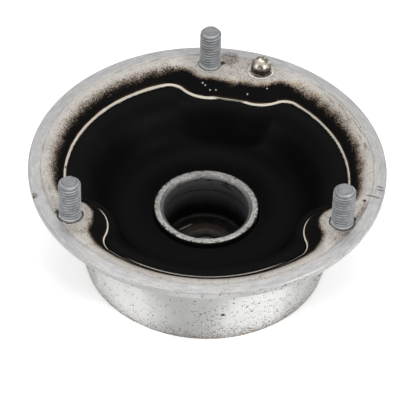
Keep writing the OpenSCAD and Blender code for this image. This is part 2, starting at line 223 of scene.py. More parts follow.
def wind(chain, steps, turns=1, climb=0.0):
    """Sweeps the chain round Z, climbing with each turn, merges it and faces it outwards."""
    apply_modifier(chain, "sweep", "SCREW", steps=steps, render_steps=steps,
                   iterations=turns, screw_offset=climb)
    bpy.ops.object.mode_set(mode="EDIT")
    bpy.ops.mesh.select_all(action="SELECT")
    bpy.ops.mesh.remove_doubles(threshold=WELD_GAP)
    bpy.ops.mesh.normals_make_consistent(inside=False)
    bpy.ops.object.mode_set(mode="OBJECT")


def cut_flat(piece, height, keep_above):
    """Cuts a closed tube across at a height and caps the cut."""
    only(piece)
    bpy.ops.object.mode_set(mode="EDIT")
    bpy.ops.mesh.select_all(action="SELECT")
    bpy.ops.mesh.bisect(plane_co=(0, 0, height), plane_no=(0, 0, 1), use_fill=True,
                        clear_inner=keep_above, clear_outer=not keep_above)
    bpy.ops.object.mode_set(mode="OBJECT")


# Each corner of the tooth has its radius, and its height as a share of the pitch
tooth = [(THREAD_ROOT_R, 0), (THREAD_ROOT_R, 0.16), (THREAD_CREST_R, 0.46),
         (THREAD_CREST_R, 0.6), (THREAD_ROOT_R, 0.9), (THREAD_ROOT_R, 1)]
tooth_start = STUD_FOOT - 2 * THREAD_PITCH
thread = edge_chain("thread", [(r, tooth_start + h * THREAD_PITCH) for r, h in tooth])
thread_turns = math.ceil((STUD_TIP - STUD_FOOT) / THREAD_PITCH) + 3
wind(thread, THREAD_STEPS, thread_turns, THREAD_PITCH)
cut_flat(thread, STUD_FOOT, True)
cut_flat(thread, STUD_TIP + PAST_TIP, False)
print("turns of thread:", thread_turns, "faces:", len(thread.data.polygons))

# %% [markdown]
# The blank is the stud as it was before its thread was rolled: a straight bar with a bevelled
# tip. It is turned from its outline like work on a lathe. Where the blank and the winding
# overlap, the stud has metal, so a Boolean that keeps what they share gives the tip on which the
# last turns of thread run out.

# %% Trim the thread with a turned blank
BLANK_R = 4.3 * MM
BLANK_FOOT = STUD_FOOT - MM
TIP_FLAT_R = 2.55 * MM
TIP_BEVEL = 1.75 * MM
blank = edge_chain("blank", [
    (0, BLANK_FOOT), (BLANK_R, BLANK_FOOT), (BLANK_R, STUD_TIP - TIP_BEVEL),
    (TIP_FLAT_R + 0.25 * MM, STUD_TIP - 0.12 * MM), (TIP_FLAT_R, STUD_TIP), (0, STUD_TIP)])
wind(blank, THREAD_STEPS)
apply_modifier(thread, "trim", "BOOLEAN", operation="INTERSECT", solver="EXACT", object=blank)
bpy.data.objects.remove(blank)
print("faces of the trimmed thread:", len(thread.data.polygons))

# %% [markdown]
# Under the thread sits the collar that holds the stud in its hole, and below the flange its flat
# head. They are turned in one piece with a soft edge, joined to the thread, and the stud is then
# copied to its three places. The copies are moved in edit mode, so each has its place in its
# mesh and the object stays at the origin, which keeps the finish still.

# %% Add collar and head, then set the three studs
STUD_CIRCLE = 55.6
STUD_TURNS = (90, 210, 330)
STUD_SHARP_DEG = 30
FOOT_STEPS = 48
HEAD_LOW, HEAD_TOP, HEAD_R = 39.15, 41.75, 6
COLLAR_TOP, COLLAR_R = 43.45, 4.36


def upright_axis(circle, turn):
    """Where an upright axis stands, from the radius of its circle and its turn in degrees."""
    return (circle * math.cos(math.radians(turn)), circle * math.sin(math.radians(turn)), 0)


def join(first, *others):
    """Joins other objects into the first."""
    only(first)
    for other in others:
        other.select_set(True)
    bpy.ops.object.join()


foot = edge_chain("stud_foot", [(r * MM, h * MM) for r, h in [
    (0, HEAD_LOW), (5.5, HEAD_LOW), (5.85, 39.27), (HEAD_R, 39.6), (HEAD_R, HEAD_TOP),
    (COLLAR_R, HEAD_TOP), (COLLAR_R, 43.25), (4.2, COLLAR_TOP), (0, COLLAR_TOP)]])
wind(foot, FOOT_STEPS)
join(thread, foot)
smooth_over(thread, STUD_SHARP_DEG)
studs = [thread]
for _ in STUD_TURNS[1:]:
    only(thread)
    bpy.ops.object.duplicate(linked=False)
    studs.append(bpy.context.active_object)
for stud, turn in zip(studs, STUD_TURNS):
    only(stud)
    bpy.ops.object.mode_set(mode="EDIT")
    bpy.ops.mesh.select_all(action="SELECT")
    bpy.ops.transform.translate(value=upright_axis(STUD_CIRCLE * MM, turn))
    bpy.ops.object.mode_set(mode="OBJECT")
join(*studs)
stud_set = studs[0]
stud_set.name = "mounting_studs_finish"
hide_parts("mounting_studs")
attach(stud_set, "mount")
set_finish(stud_set, "zinc_steel")
pieces["mounting_studs"] = stud_set
print("studs and their faces:", len(studs), len(stud_set.data.polygons))

# %% [markdown]
# The finishes are all built from nodes. Adding a node, setting its options and wiring it takes
# many lines, so short helpers do it: one puts a node in, and the others are sums on numbers and
# vectors. A mask is a number from 0 to 1, so sums on masks work like stencils: a product is open
# where all of them are, and the largest is open where any of them is.

# %% Helpers for nodes and sums
def put(tree, kind, options=None, inputs=None):
    """Adds a shader node, sets its options, and wires or fills its inputs."""
    node = tree.nodes.new("ShaderNode" + kind)
    for name, value in (options or {}).items():
        setattr(node, name, value)
    for key, value in (inputs or {}).items():
        if isinstance(value, bpy.types.NodeSocket):
            tree.links.new(value, node.inputs[key])
        else:
            node.inputs[key].default_value = value
    return node


def calc(tree, operation, a, b=0.0):
    """One sum on two numbers."""
    return put(tree, "Math", {"operation": operation}, {0: a, 1: b}).outputs[0]


def plus(tree, a, b):
    """The sum of two numbers."""
    return calc(tree, "ADD", a, b)


def minus(tree, a, b):
    """The difference of two numbers. 1 minus a mask turns the mask round."""
    return calc(tree, "SUBTRACT", a, b)


def times(tree, *factors):
    """The product of some numbers."""
    product = factors[0]
    for factor in factors[1:]:
        product = calc(tree, "MULTIPLY", product, factor)
    return product


def most(tree, *values):
    """The largest of some numbers."""
    largest = values[0]
    for value in values[1:]:
        largest = calc(tree, "MAXIMUM", largest, value)
    return largest


def vector_calc(tree, operation, a, b=(0, 0, 0), result="Vector"):
    """One sum on two vectors."""
    return put(tree, "VectorMath", {"operation": operation}, {0: a, 1: b}).outputs[result]


print("sums ready")

# %% [markdown]
# Four more helpers come up in every finish: a soft step, a range, a mix of two colours, and a
# cloud of noise. The soft step draws each border, because a hard one would show a saw edge. The
# last helper starts a node group, which keeps several nodes together as one.

# %% Helpers for steps, mixes and clouds
def rise_between(tree, value, low, high):
    """A soft step from 0 at low to 1 at high. With low above high it falls."""
    return put(tree, "MapRange", {"interpolation_type": "SMOOTHSTEP"},
               {"Value": value, "From Min": low, "From Max": high}).outputs["Result"]


def between(tree, factor, low, high):
    """A number that runs from low to high as the factor runs from 0 to 1."""
    return put(tree, "MapRange", None,
               {"Value": factor, "To Min": low, "To Max": high}).outputs["Result"]


def mixed(tree, factor, under, over):
    """One colour laid over another."""
    mix = put(tree, "Mix", {"data_type": "RGBA"})
    for socket, value in ((mix.inputs[0], factor), (mix.inputs[6], under), (mix.inputs[7], over)):
        if isinstance(value, bpy.types.NodeSocket):
            tree.links.new(value, socket)
        elif isinstance(value, tuple):
            socket.default_value = (*value, 1)
        else:
            socket.default_value = value
    return mix.outputs[2]


def cloud(tree, place, size, detail=3.0, stretch=None):
    """Noise whose patches are about size millimetres across."""
    if stretch:
        place = vector_calc(tree, "MULTIPLY", place, stretch)
    return put(tree, "TexNoise", None,
               {"Vector": place, "Scale": 1 / size, "Detail": detail}).outputs["Fac"]


def new_group(name, inputs, outputs):
    """An empty shader node group with named sockets."""
    tree = bpy.data.node_groups.new(name, "ShaderNodeTree")
    for socket, kind, start in inputs:
        made = tree.interface.new_socket(socket, in_out="INPUT", socket_type="NodeSocket" + kind)
        if start is not None:
            made.default_value = start
    for socket, kind in outputs:
        tree.interface.new_socket(socket, in_out="OUTPUT", socket_type="NodeSocket" + kind)
    return tree, tree.nodes.new("NodeGroupInput").outputs, tree.nodes.new("NodeGroupOutput").inputs


print("steps, mixes and clouds ready")

# %% [markdown]
# Most of what is seen on the mount follows its round form: paint ends at a height, dirt gathers
# at a radius. So one group measures where a point lies, in millimetres: its position, its radius
# from the axis, its height, and how far the surface faces up. It reads Object coordinates, which
# stay with the piece when it turns.

# %% Group that measures the place on the part
FLAT = (1, 1, 0)
place_tree, _, measured = new_group("place_on_part", [], [
    ("Position", "Vector"), ("Radius", "Float"), ("Height", "Float"), ("Facing Up", "Float")])
coordinates = put(place_tree, "TexCoord")
in_mm = put(place_tree, "VectorMath", {"operation": "SCALE"},
            {0: coordinates.outputs["Object"], "Scale": 1000.0}).outputs[0]
from_axis = vector_calc(place_tree, "MULTIPLY", in_mm, FLAT)
split = put(place_tree, "SeparateXYZ", None, {0: in_mm})
facing = put(place_tree, "SeparateXYZ", None, {0: coordinates.outputs["Normal"]})
place_tree.links.new(in_mm, measured["Position"])
place_tree.links.new(vector_calc(place_tree, "LENGTH", from_axis, result="Value"), measured["Radius"])
place_tree.links.new(split.outputs[2], measured["Height"])
place_tree.links.new(facing.outputs[2], measured["Facing Up"])


def place_on(tree):
    """The measuring group's outputs, in a material."""
    return put(tree, "Group", {"node_tree": place_tree}).outputs


print("group made:", place_tree.name)

# %% [markdown]
# Flecks are everywhere on this part: dust on the rubber, rust on the skirt, chips on the neck. A
# noise threshold gives blotches of one kind, while a Voronoi texture gives one seed per cell.
# The seed's random colour decides whether its cell has a fleck at all and how large it is.

# %% Group that scatters flecks
flecks_tree, given, flecks_out = new_group(
    "flecks", [("Position", "Vector", None), ("Spacing", "Float", 2.0),
               ("Amount", "Float", 0.3), ("Size", "Float", 0.3)], [("Mask", "Float")])
seeds = put(flecks_tree, "TexVoronoi", None, {
    "Vector": given["Position"], "Scale": calc(flecks_tree, "DIVIDE", 1.0, given["Spacing"])})
chance = put(flecks_tree, "SeparateColor", None, {0: seeds.outputs["Color"]})
chosen = calc(flecks_tree, "LESS_THAN", chance.outputs[0], given["Amount"])
reach = times(flecks_tree, given["Size"], between(flecks_tree, chance.outputs[1], 0.35, 1.0))
inside = minus(flecks_tree, reach, seeds.outputs["Distance"])
fleck = times(flecks_tree, chosen, rise_between(flecks_tree, inside, 0.0, 0.08))
flecks_tree.links.new(fleck, flecks_out["Mask"])


def flecks(tree, position, spacing, amount, size):
    """The flecks group's mask, in a material."""
    return put(tree, "Group", {"node_tree": flecks_tree}, {
        "Position": position, "Spacing": spacing, "Amount": amount, "Size": size}).outputs["Mask"]


print("group made:", flecks_tree.name)

# %% [markdown]
# Each finish is a Principled shader with its sockets fed from masks. Three more helpers start a
# finish, feed its sockets by name, and turn a height into a bump that is given in millimetres,
# so that the grain of one finish can be compared with that of another.

# %% Helpers for finishes
def new_finish(name):
    """An empty material with a Principled shader, and its tree."""
    finish = bpy.data.materials.new(name)
    finish.use_nodes = True
    return finish, finish.node_tree, finish.node_tree.nodes["Principled BSDF"]


def wire(tree, shader, **sockets):
    """Feeds named sockets of the shader."""
    for name, value in sockets.items():
        socket = shader.inputs[name.replace("_", " ")]
        if isinstance(value, bpy.types.NodeSocket):
            tree.links.new(value, socket)
        else:
            socket.default_value = value


def bumped(tree, height, depth):
    """A normal from a height that varies between 0 and 1, depth in millimetres."""
    return put(tree, "Bump", None, {"Height": height, "Distance": depth * MM}).outputs["Normal"]


print("finish helpers ready")

# %% [markdown]
# A used part has marks that no even noise gives: a chip on the rim, a few scratches, a pit. They
# could be drawn in an image, but a mask made from the distance to a point or to a short line does
# the same without one, and noise can roughen its edge. The distance to the nearest stud is
# measured the same way, since dirt gathers round the studs.

# %% Masks for single marks
PIN_CIRCLE = 55.9
PIN_TURN = 69.8
STUD_AXES = [upright_axis(STUD_CIRCLE, turn) for turn in STUD_TURNS]
PIN_AXIS = upright_axis(PIN_CIRCLE, PIN_TURN)


def apart(tree, spot, point):
    """The distance between a place and a point."""
    return vector_calc(tree, "DISTANCE", spot, point, "Value")


def axis_gap(tree, spot, axes):
    """The distance from the nearest of some upright axes."""
    level = vector_calc(tree, "MULTIPLY", spot, FLAT)
    nearest = apart(tree, level, axes[0])
    for axis in axes[1:]:
        nearest = calc(tree, "MINIMUM", nearest, apart(tree, level, axis))
    return nearest


def dab(tree, spot, centre, reach, ragged=0.0):
    """A mask round one point, whose edge a ragged value moves in and out."""
    return rise_between(tree, plus(tree, apart(tree, spot, centre), ragged), reach, 0.6 * reach)


def dabs(tree, spot, centres, reach, ragged=0.0):
    """One mask round several points."""
    return most(tree, *[dab(tree, spot, centre, reach, ragged) for centre in centres])


def scratch(tree, spot, begin, end, width):
    """A mask along a short line, seen from above, that thins out towards its ends."""
    begin, end = Vector((*begin, 0)), Vector((*end, 0))
    along = (end - begin).normalized()
    beside = Vector((-along.y, along.x, 0))
    away = vector_calc(tree, "SUBTRACT", spot, (begin + end) / 2)
    masks = []
    for line, reach in ((along, (end - begin).length / 2), (beside, width)):
        off = calc(tree, "ABSOLUTE", vector_calc(tree, "DOT_PRODUCT", away, line, "Value"))
        masks.append(rise_between(tree, off, reach, 0.5 * reach))
    return times(tree, *masks)


def band(tree, value, low, high, soft):
    """1 between two limits and 0 outside them, with soft edges."""
    return times(tree, rise_between(tree, value, low, low + soft),
                 rise_between(tree, value, high, high - soft))


def laid(tree, mask, share, under, over):
    """A colour laid over another through a mask, at a share of its strength."""
    return mixed(tree, times(tree, mask, share), under, over)


print("masks ready")

# %% [markdown]
# The housing is pressed sheet with a silver finish. On top, its lip is grey and clean, and the
# land inside the lip is beige, clouded and smudged. Fine streaks run round both. Noise gives them
# when the direction off the axis and the radius stand in for x, y and z, because it then changes
# quickly with the radius and slowly on the way round.

# %% Housing finish: lip and land
STREAK_LENGTH = (12, 12, 0)
silver, tree, shader = new_finish("housing_silver")
here = place_on(tree)
spot, radius, height = here["Position"], here["Radius"], here["Height"]
rightward, rearward = put(tree, "SeparateXYZ", None, {0: spot}).outputs[:2]
broad = cloud(tree, spot, 14, 2)
patch = cloud(tree, spot, 3.5, 4)
fine = cloud(tree, spot, 0.7, 3)
grit = cloud(tree, spot, 0.55, 3)
direction = vector_calc(tree, "NORMALIZE", vector_calc(tree, "MULTIPLY", spot, FLAT))
outward = put(tree, "CombineXYZ", None, {2: radius}).outputs[0]
round_axis = put(tree, "VectorMath", {"operation": "MULTIPLY_ADD"},
                 {0: direction, 1: STREAK_LENGTH, 2: outward}).outputs[0]
streaks = cloud(tree, round_axis, 0.9, 4)

land = mixed(tree, rise_between(tree, patch, 0.35, 0.65), (0.5, 0.475, 0.445), (0.6, 0.58, 0.55))
land = laid(tree, rise_between(tree, streaks, 0.54, 0.68), 0.4, land, (0.27, 0.235, 0.2))
smudge = times(tree, rise_between(tree, broad, 0.48, 0.66), rise_between(tree, fine, 0.3, 0.6))
land = laid(tree, smudge, 0.35, land, (0.28, 0.255, 0.23))
land = laid(tree, flecks(tree, spot, 1.1, 0.3, 0.25), 0.3, land, (0.16, 0.13, 0.11))
lip = mixed(tree, rise_between(tree, patch, 0.3, 0.7), (0.36, 0.36, 0.364), (0.44, 0.44, 0.443))
lip = laid(tree, rise_between(tree, streaks, 0.53, 0.66), 0.4, lip, (0.25, 0.25, 0.254))
lip = laid(tree, rise_between(tree, streaks, 0.44, 0.34), 0.5, lip, (0.52, 0.52, 0.52))
on_lip = rise_between(tree, plus(tree, radius, between(tree, streaks, -2.0, 2.0)), 59.6, 61.2)
top = mixed(tree, on_lip, land, lip)
# A darker line along the foot of the lip's step is painted shade in that crease.
step_shade = times(tree, band(tree, radius, 60.05, 60.75, 0.3), rise_between(tree, broad, 0.4, 0.6))
top = laid(tree, step_shade, 0.2, top, (0.12, 0.11, 0.1))
print("finish begun:", silver.name)

# %% [markdown]
# Now the top gets its stains. Each is a colour laid over the last through a mask, in the order in
# which the dirt came: brown beside the rear stud and the right one, and brown dashes along the
# right of the land. Then come painted light and shade: a bright ring round the studs, a painted
# highlight on the edge of each hole, and a bright arc in front of the pin, a painted highlight,
# with a dark line round it, painted shade.

# %% Housing finish: stains, and painted light and shade round the studs and the pin
LAND_TOP = 44.35
STAINS = [((7.2, 58.2, LAND_TOP), 4.6), ((48.8, -33.2, LAND_TOP), 2.8)]
STAIN_LINE = ((52.9, -27.2), (57.0, -18.6))
stud_gap = axis_gap(tree, spot, STUD_AXES)
pin_gap = axis_gap(tree, spot, [PIN_AXIS])
uneven = between(tree, patch, -1.6, 1.6)
stains = most(tree, scratch(tree, spot, *STAIN_LINE, 1.2),
              *[dab(tree, spot, centre, reach, uneven) for centre, reach in STAINS])
stains = times(tree, stains, rise_between(tree, fine, 0.25, 0.6))
top = laid(tree, stains, 0.75, top, (0.13, 0.105, 0.085))
dashes = times(tree, band(tree, radius, 57.9, 60.0, 0.7), band(tree, rearward, 4.0, 42.0, 8.0),
               rise_between(tree, rightward, 20.0, 35.0), rise_between(tree, streaks, 0.44, 0.58))
top = laid(tree, dashes, 0.75, top, (0.19, 0.15, 0.115))
# A bright ring just outside each stud is a painted highlight on the edge of its hole.
stud_hole_highlight = times(tree, band(tree, stud_gap, 4.75, 5.35, 0.2), rise_between(tree, broad, 0.6, 0.46))
top = laid(tree, stud_hole_highlight, 0.75, top, (0.7, 0.69, 0.67))
# The bright arc in front of the pin is a painted highlight.
pin_front = rise_between(tree, rearward, PIN_AXIS[1] + 1.0, PIN_AXIS[1] - 1.5)
pin_highlight = times(tree, band(tree, pin_gap, 4.0, 5.15, 0.2), between(tree, pin_front, 0.3, 1.0))
top = laid(tree, pin_highlight, 0.9, top, (0.93, 0.92, 0.9))
# The dark line round the pin is painted shade.
top = laid(tree, band(tree, pin_gap, 5.1, 5.5, 0.15), 0.6, top, (0.15, 0.13, 0.11))
print("stains laid:", len(STAINS))

# %% [markdown]
# Single marks come on top of the stains: three scratches across the lip on the right, a brown
# chip on the lip on the left, and a brown pit on the land on the right. The chip and the pit each
# have a black spot beside them.

# %% Housing finish: scratches, chip and pit
LIP_TOP = 44.6
SCRATCHES = [((56.4, -13.6), (62.6, -15.9)), ((61.0, -9.3), (63.8, -10.6)),
             ((61.0, -11.1), (63.9, -11.9))]
CHIP = (-61.5, -19.1, LIP_TOP)
PIT = (56.8, -18.4, LAND_TOP)
BLACK_SPOTS = [(56.4, -16.8, LAND_TOP), (-61.9, -19.9, LIP_TOP)]
CHIP_BROWN = (0.19, 0.155, 0.13)
SOOT_AND_SHADE = (0.012, 0.011, 0.01)
scratches = most(tree, *[scratch(tree, spot, begin, end, 0.4) for begin, end in SCRATCHES])
top = laid(tree, scratches, 0.9, top, (0.07, 0.06, 0.058))
rough_edge = between(tree, fine, -0.5, 0.5)
top = laid(tree, dab(tree, spot, CHIP, 1.7, rough_edge), 0.85, top, CHIP_BROWN)
top = laid(tree, dab(tree, spot, PIT, 1.3, rough_edge), 0.5, top, CHIP_BROWN)
top = laid(tree, dabs(tree, spot, BLACK_SPOTS, 0.85), 0.95, top, SOOT_AND_SHADE)
print("scratches drawn:", len(SCRATCHES))

# %% [markdown]
# The flare above the rubber is black, with overspray that fades out through brown in specks. It
# ends at a known height, so height, roughened by noise, draws its border. Near the studs the
# black climbs higher and ends more sharply, so the distance to the nearest stud lifts its limit.
# Specks gather on the pads of the front studs, and the border turns amber at the back.

# %% Housing finish: black flare
BLACK_LIMIT = 42.1
BLACK_LIMIT_AT_STUDS = 43.5
near_stud = rise_between(tree, axis_gap(tree, spot, STUD_AXES + [PIN_AXIS]), 17.0, 9.0)
front_two = rise_between(tree, rearward, 20.0, 0.0)
limit = between(tree, near_stud, BLACK_LIMIT, BLACK_LIMIT_AT_STUDS)
crisp = between(tree, near_stud, 1.0, 2.4)
ragged = calc(tree, "DIVIDE", between(tree, patch, -1.4, 1.4), crisp)
depth = times(tree, minus(tree, plus(tree, limit, ragged), height), crisp)
speckled = plus(tree, depth, between(tree, grit, -2.4, 2.4))
dusted = plus(tree, depth, between(tree, grit, -1.2, 1.2))
top = laid(tree, rise_between(tree, dusted, -3.4, 0.4), 0.55, top, (0.25, 0.19, 0.132))
top = laid(tree, rise_between(tree, speckled, -2.5, 0.3), 0.8, top, (0.11, 0.07, 0.04))
spatter = times(tree, rise_between(tree, depth, -5.0, -0.5), rise_between(tree, radius, 60.0, 51.0))
pad_edge = times(tree, rise_between(tree, stud_gap, 5.2, 8.4),
                 rise_between(tree, radius, 57.0, 52.0), near_stud, front_two)
spatter = times(tree, plus(tree, spatter, between(tree, pad_edge, 0.0, 0.8)), 0.9)
top = laid(tree, flecks(tree, spot, 0.6, spatter, 0.42), 0.8, top, (0.03, 0.024, 0.02))
amber = times(tree, band(tree, dusted, -2.0, -0.5, 0.5), rise_between(tree, rearward, 36.0, 44.0),
              rise_between(tree, height, 44.25, 44.0), rise_between(tree, rightward, -10.0, 2.0))
amber_share = between(tree, rise_between(tree, patch, 0.4, 0.6), 0.1, 0.6)
top = laid(tree, amber, amber_share, top, (0.34, 0.24, 0.11))
black = rise_between(tree, speckled, -1.3, 1.0)
top = mixed(tree, black, top, (0.003, 0.0028, 0.0028))
print("black flare reaches up to (mm):", BLACK_LIMIT, BLACK_LIMIT_AT_STUDS)

# %% [markdown]
# Over the black lie dark circles round the feet of the front studs, painted shade in the gap round
# each stud, with a dark spot at the foot of each stud, a painted shadow, and a few light nicks at
# the back.

# %% Housing finish: rings and nicks over the black
STUD_SHADOW_SPOTS = [(4.7, 56.0, LAND_TOP), (-52.6, -26.8, LAND_TOP), (52.3, -26.3, LAND_TOP)]
NICKS = [(-2.6, 46.6, 42.3), (-1.5, 45.9, 41.9), (0.3, 44.6, 40.7), (2.5, 44.6, 40.8),
         (14.4, 42.7, 40.8), (21.7, 43.9, 42.8)]
# The dark circles round the stud feet are painted shade in the gap round each stud, and the dark spots
# at their feet are painted shadows.
gap_shade_rings = times(tree, band(tree, stud_gap, 4.1, 4.85, 0.15), front_two,
              rise_between(tree, patch, 0.36, 0.5))
top = laid(tree, most(tree, gap_shade_rings, dabs(tree, spot, STUD_SHADOW_SPOTS, 1.3)), 0.95, top, SOOT_AND_SHADE)
nicked = dabs(tree, spot, NICKS, 0.38, between(tree, grit, -0.3, 0.3))
top = laid(tree, nicked, 0.7, top, (0.6, 0.57, 0.52))
print("nicks:", len(NICKS))

# %% [markdown]
# A thin cream line follows the rubber's edge, with a brown rim above it. Noise changes its width,
# and it gets thinner at the front and on the right. It is lost behind the front studs and at two
# small breaks, where masks round single points take it away.

# %% Housing finish: cream line
RIM_HEIGHT = 38.5
LOST_BEHIND_STUDS = [(-43.6, -14.8, RIM_HEIGHT), (41.0, -15.4, RIM_HEIGHT)]
BREAKS = [(51.0, 0.6, RIM_HEIGHT), (-51.2, 2.5, RIM_HEIGHT)]
cream_width = times(tree, between(tree, cloud(tree, spot, 9, 2), 0.2, 0.56),
                    between(tree, rise_between(tree, rearward, -16.0, -26.0), 1.0, 0.55),
                    between(tree, rise_between(tree, rightward, 20.0, 38.0), 1.0, 0.62))
above_rim = minus(tree, height, cream_width)
brown_rim = times(tree, rise_between(tree, above_rim, 39.1, RIM_HEIGHT),
                  rise_between(tree, patch, 0.35, 0.6))
top = laid(tree, brown_rim, 0.7, top, (0.075, 0.038, 0.014))
lost = most(tree, dabs(tree, spot, LOST_BEHIND_STUDS, 9.0), dabs(tree, spot, BREAKS, 1.0))
cream = times(tree, rise_between(tree, above_rim, 38.55, 38.42), minus(tree, 1.0, lost),
              rise_between(tree, rearward, -47.0, -42.0))
top = mixed(tree, cream, top, (0.6, 0.55, 0.475))
print("cream line starts at (mm):", RIM_HEIGHT)

# %% [markdown]
# The skirt was left bare. It is silver, with faint upright light and dark bands, a painted sheen,
# fine grey dirt and dark rust flecks. The flecks crowd towards the foot and to both sides, most of
# all to the right, where the part has stood in the wet. One black spot sits near the middle of the
# front.

# %% Housing finish: skirt
SKIRT_SPOT = (6.9, -48.6, 16.7)
low = rise_between(tree, height, 32.0, 0.0)
right_side = rise_between(tree, rightward, -30.0, 45.0)
left_side = rise_between(tree, rightward, -24.0, -42.0)
# Light and dark upright bands on the skirt are a painted sheen.
sheen_bands = cloud(tree, spot, 20, 2, (1, 1, 0.15))
skirt = mixed(tree, rise_between(tree, sheen_bands, 0.36, 0.64), (0.37, 0.37, 0.366), (0.45, 0.45, 0.444))
skirt = laid(tree, rise_between(tree, grit, 0.5, 0.75), 0.35, skirt, (0.34, 0.335, 0.33))
crowd = plus(tree, between(tree, low, 0.04, 0.58), between(tree, right_side, 0.0, 0.42))
crowd = plus(tree, crowd, times(tree, left_side, between(tree, low, 0.0, 0.35)))
cluster = rise_between(tree, cloud(tree, spot, 5, 2), 0.4, 0.62)
crowd = times(tree, crowd, between(tree, cluster, 0.3, 1.7))
rust = most(tree, flecks(tree, spot, 1.7, crowd, 0.3), flecks(tree, spot, 0.8, crowd, 0.42))
grime = plus(tree, grit, between(tree, rise_between(tree, height, 11.0, 0.0), 0.0, 0.13))
grime = plus(tree, grime, times(tree, right_side, 0.05))
skirt = laid(tree, rise_between(tree, grime, 0.66, 0.72), 0.75, skirt, (0.075, 0.052, 0.036))
skirt = laid(tree, rust, 0.95, skirt, (0.022, 0.016, 0.013))
skirt = mixed(tree, dab(tree, spot, SKIRT_SPOT, 1.0), skirt, (0.004, 0.003, 0.003))
foot_dirt = plus(tree, height, between(tree, patch, -3.0, 3.0))
foot_dirt = rise_between(tree, foot_dirt, between(tree, right_side, 2.2, 3.4), -0.8)
foot_dirt = times(tree, foot_dirt, rise_between(tree, grit, 0.3, 0.55))
skirt = laid(tree, foot_dirt, 0.88, skirt, (0.12, 0.072, 0.04))
print("skirt added to:", silver.name)

# %% [markdown]
# A soft step on how far the surface faces up parts the skirt from the top, so that one material
# covers the whole pressing. Bare metal is nearly half metallic. The land, the black and the rust
# are not, and the land and the black are also rougher.

# %% Housing finish: put together
top_side = rise_between(tree, here["Facing Up"], 0.2, 0.45)
dull = times(tree, top_side, minus(tree, 1.0, on_lip))
bare = minus(tree, 1.0, most(tree, dull, rust))
rough = plus(tree, times(tree, dull, 0.6), times(tree, fine, 0.3))
wire(tree, shader, Base_Color=mixed(tree, top_side, skirt, top), Metallic=times(tree, bare, 0.45),
     Specular_IOR_Level=between(tree, times(tree, black, top_side), 0.15, 0.03),
     Roughness=between(tree, rough, 0.34, 0.66), Normal=bumped(tree, fine, 0.05))
pieces["housing"].data.materials.append(silver)
print("finish made:", silver.name)

# %% [markdown]
# The rubber is moulded and bonded into the bowl. It is nearly black with a soft gloss, a little
# dust, faint flow marks and a grey painted sheen that fades towards the front. A low specular level
# keeps a white room from greying it. At the front the cream line runs on the rubber's own rim, so
# this finish carries that short piece of it.

# %% Rubber finish
rubber, tree, shader = new_finish("black_rubber")
here = place_on(tree)
spot = here["Position"]
rearward = put(tree, "SeparateXYZ", None, {0: spot}).outputs[1]
flow = cloud(tree, spot, 18, 3)
grain = cloud(tree, spot, 0.6, 3)
dust = flecks(tree, spot, 3.2, 0.16, 0.075)
# A grey haze, lighter towards the back, is a painted sheen.
sheen_haze = between(tree, rise_between(tree, cloud(tree, spot, 26, 3), 0.45, 0.75), 0.3, 0.8)
sheen_haze = times(tree, sheen_haze, rise_between(tree, rearward, -30.0, 5.0))
black_mix = mixed(tree, flow, (0.001, 0.001, 0.0011), (0.0022, 0.0022, 0.0023))
black_mix = laid(tree, sheen_haze, 0.7, black_mix, (0.007, 0.0066, 0.0066))
black_mix = laid(tree, dust, 0.5, black_mix, (0.1, 0.1, 0.1))
front_line = times(tree, band(tree, here["Radius"], 50.6, 51.15, 0.15),
                   rise_between(tree, rearward, -42.0, -47.0),
                   rise_between(tree, here["Height"], 37.9, 38.1))
black_mix = laid(tree, front_line, 0.9, black_mix, (0.5, 0.46, 0.41))
wire(tree, shader, Base_Color=black_mix, Specular_IOR_Level=0.028,
     Roughness=between(tree, flow, 0.4, 0.56), Normal=bumped(tree, grain, 0.03))
pieces["rubber_bush"].data.materials.append(rubber)
print("finish made:", rubber.name)

# %% [markdown]
# The sleeve is turned steel. Its neck is worn to a mottled grey with black chips at the outer
# edge, and its bore is painted darker downward, painted shade low in the bore. Turning marks run
# round the bore, which noise squeezed along the axis gives.

# %% Sleeve finish
BORE_WALL_R = 16.6
NECK_EDGE_R = 19.05
sleeve, tree, shader = new_finish("sleeve_steel")
here = place_on(tree)
spot, radius, height = here["Position"], here["Radius"], here["Height"]
patch = cloud(tree, spot, 1.6, 4)
fine = cloud(tree, spot, 0.5, 2)
bitten = cloud(tree, spot, 0.9, 3)
lines = cloud(tree, spot, 6, 2, (0.35, 0.35, 9.0))
worn = mixed(tree, rise_between(tree, patch, 0.3, 0.7), (0.22, 0.212, 0.202), (0.37, 0.36, 0.345))
worn = laid(tree, rise_between(tree, fine, 0.48, 0.64), 0.65, worn, (0.1, 0.092, 0.086))
worn = laid(tree, flecks(tree, spot, 0.7, 0.3, 0.35), 0.7, worn, (0.045, 0.04, 0.036))
bites = most(tree, between(tree, bitten, -3.0, 3.0), 0.0)
chips = rise_between(tree, plus(tree, bites, radius), NECK_EDGE_R, NECK_EDGE_R + 0.2)
worn = mixed(tree, chips, worn, (0.012, 0.011, 0.011))
in_bore = rise_between(tree, radius, BORE_WALL_R, BORE_WALL_R - 0.4)
# The bore wall darkens downward: painted shade inside the bore.
deep_shade = rise_between(tree, plus(tree, height, between(tree, lines, -1.5, 1.5)), 21.8, 13.0)
bore = mixed(tree, deep_shade, (0.14, 0.14, 0.143), (0.035, 0.035, 0.0355))
smear = times(tree, rise_between(tree, cloud(tree, spot, 5, 2, (1, 1, 2.5)), 0.55, 0.68),
              rise_between(tree, height, 17.5, 20.5))
bore = mixed(tree, smear, bore, (0.008, 0.008, 0.008))
wall = mixed(tree, in_bore, worn, bore)
oily = mixed(tree, patch, (0.2, 0.19, 0.18), (0.34, 0.33, 0.31))
wall = mixed(tree, rise_between(tree, height, 15.2, 14.6), wall, oily)
wire(tree, shader, Base_Color=wall, Metallic=between(tree, most(tree, chips, in_bore), 0.7, 0.15),
     Roughness=between(tree, lines, 0.32, 0.56), Normal=bumped(tree, fine, 0.04))
pieces["bearing_sleeve"].data.materials.append(sleeve)
print("finish made:", sleeve.name)
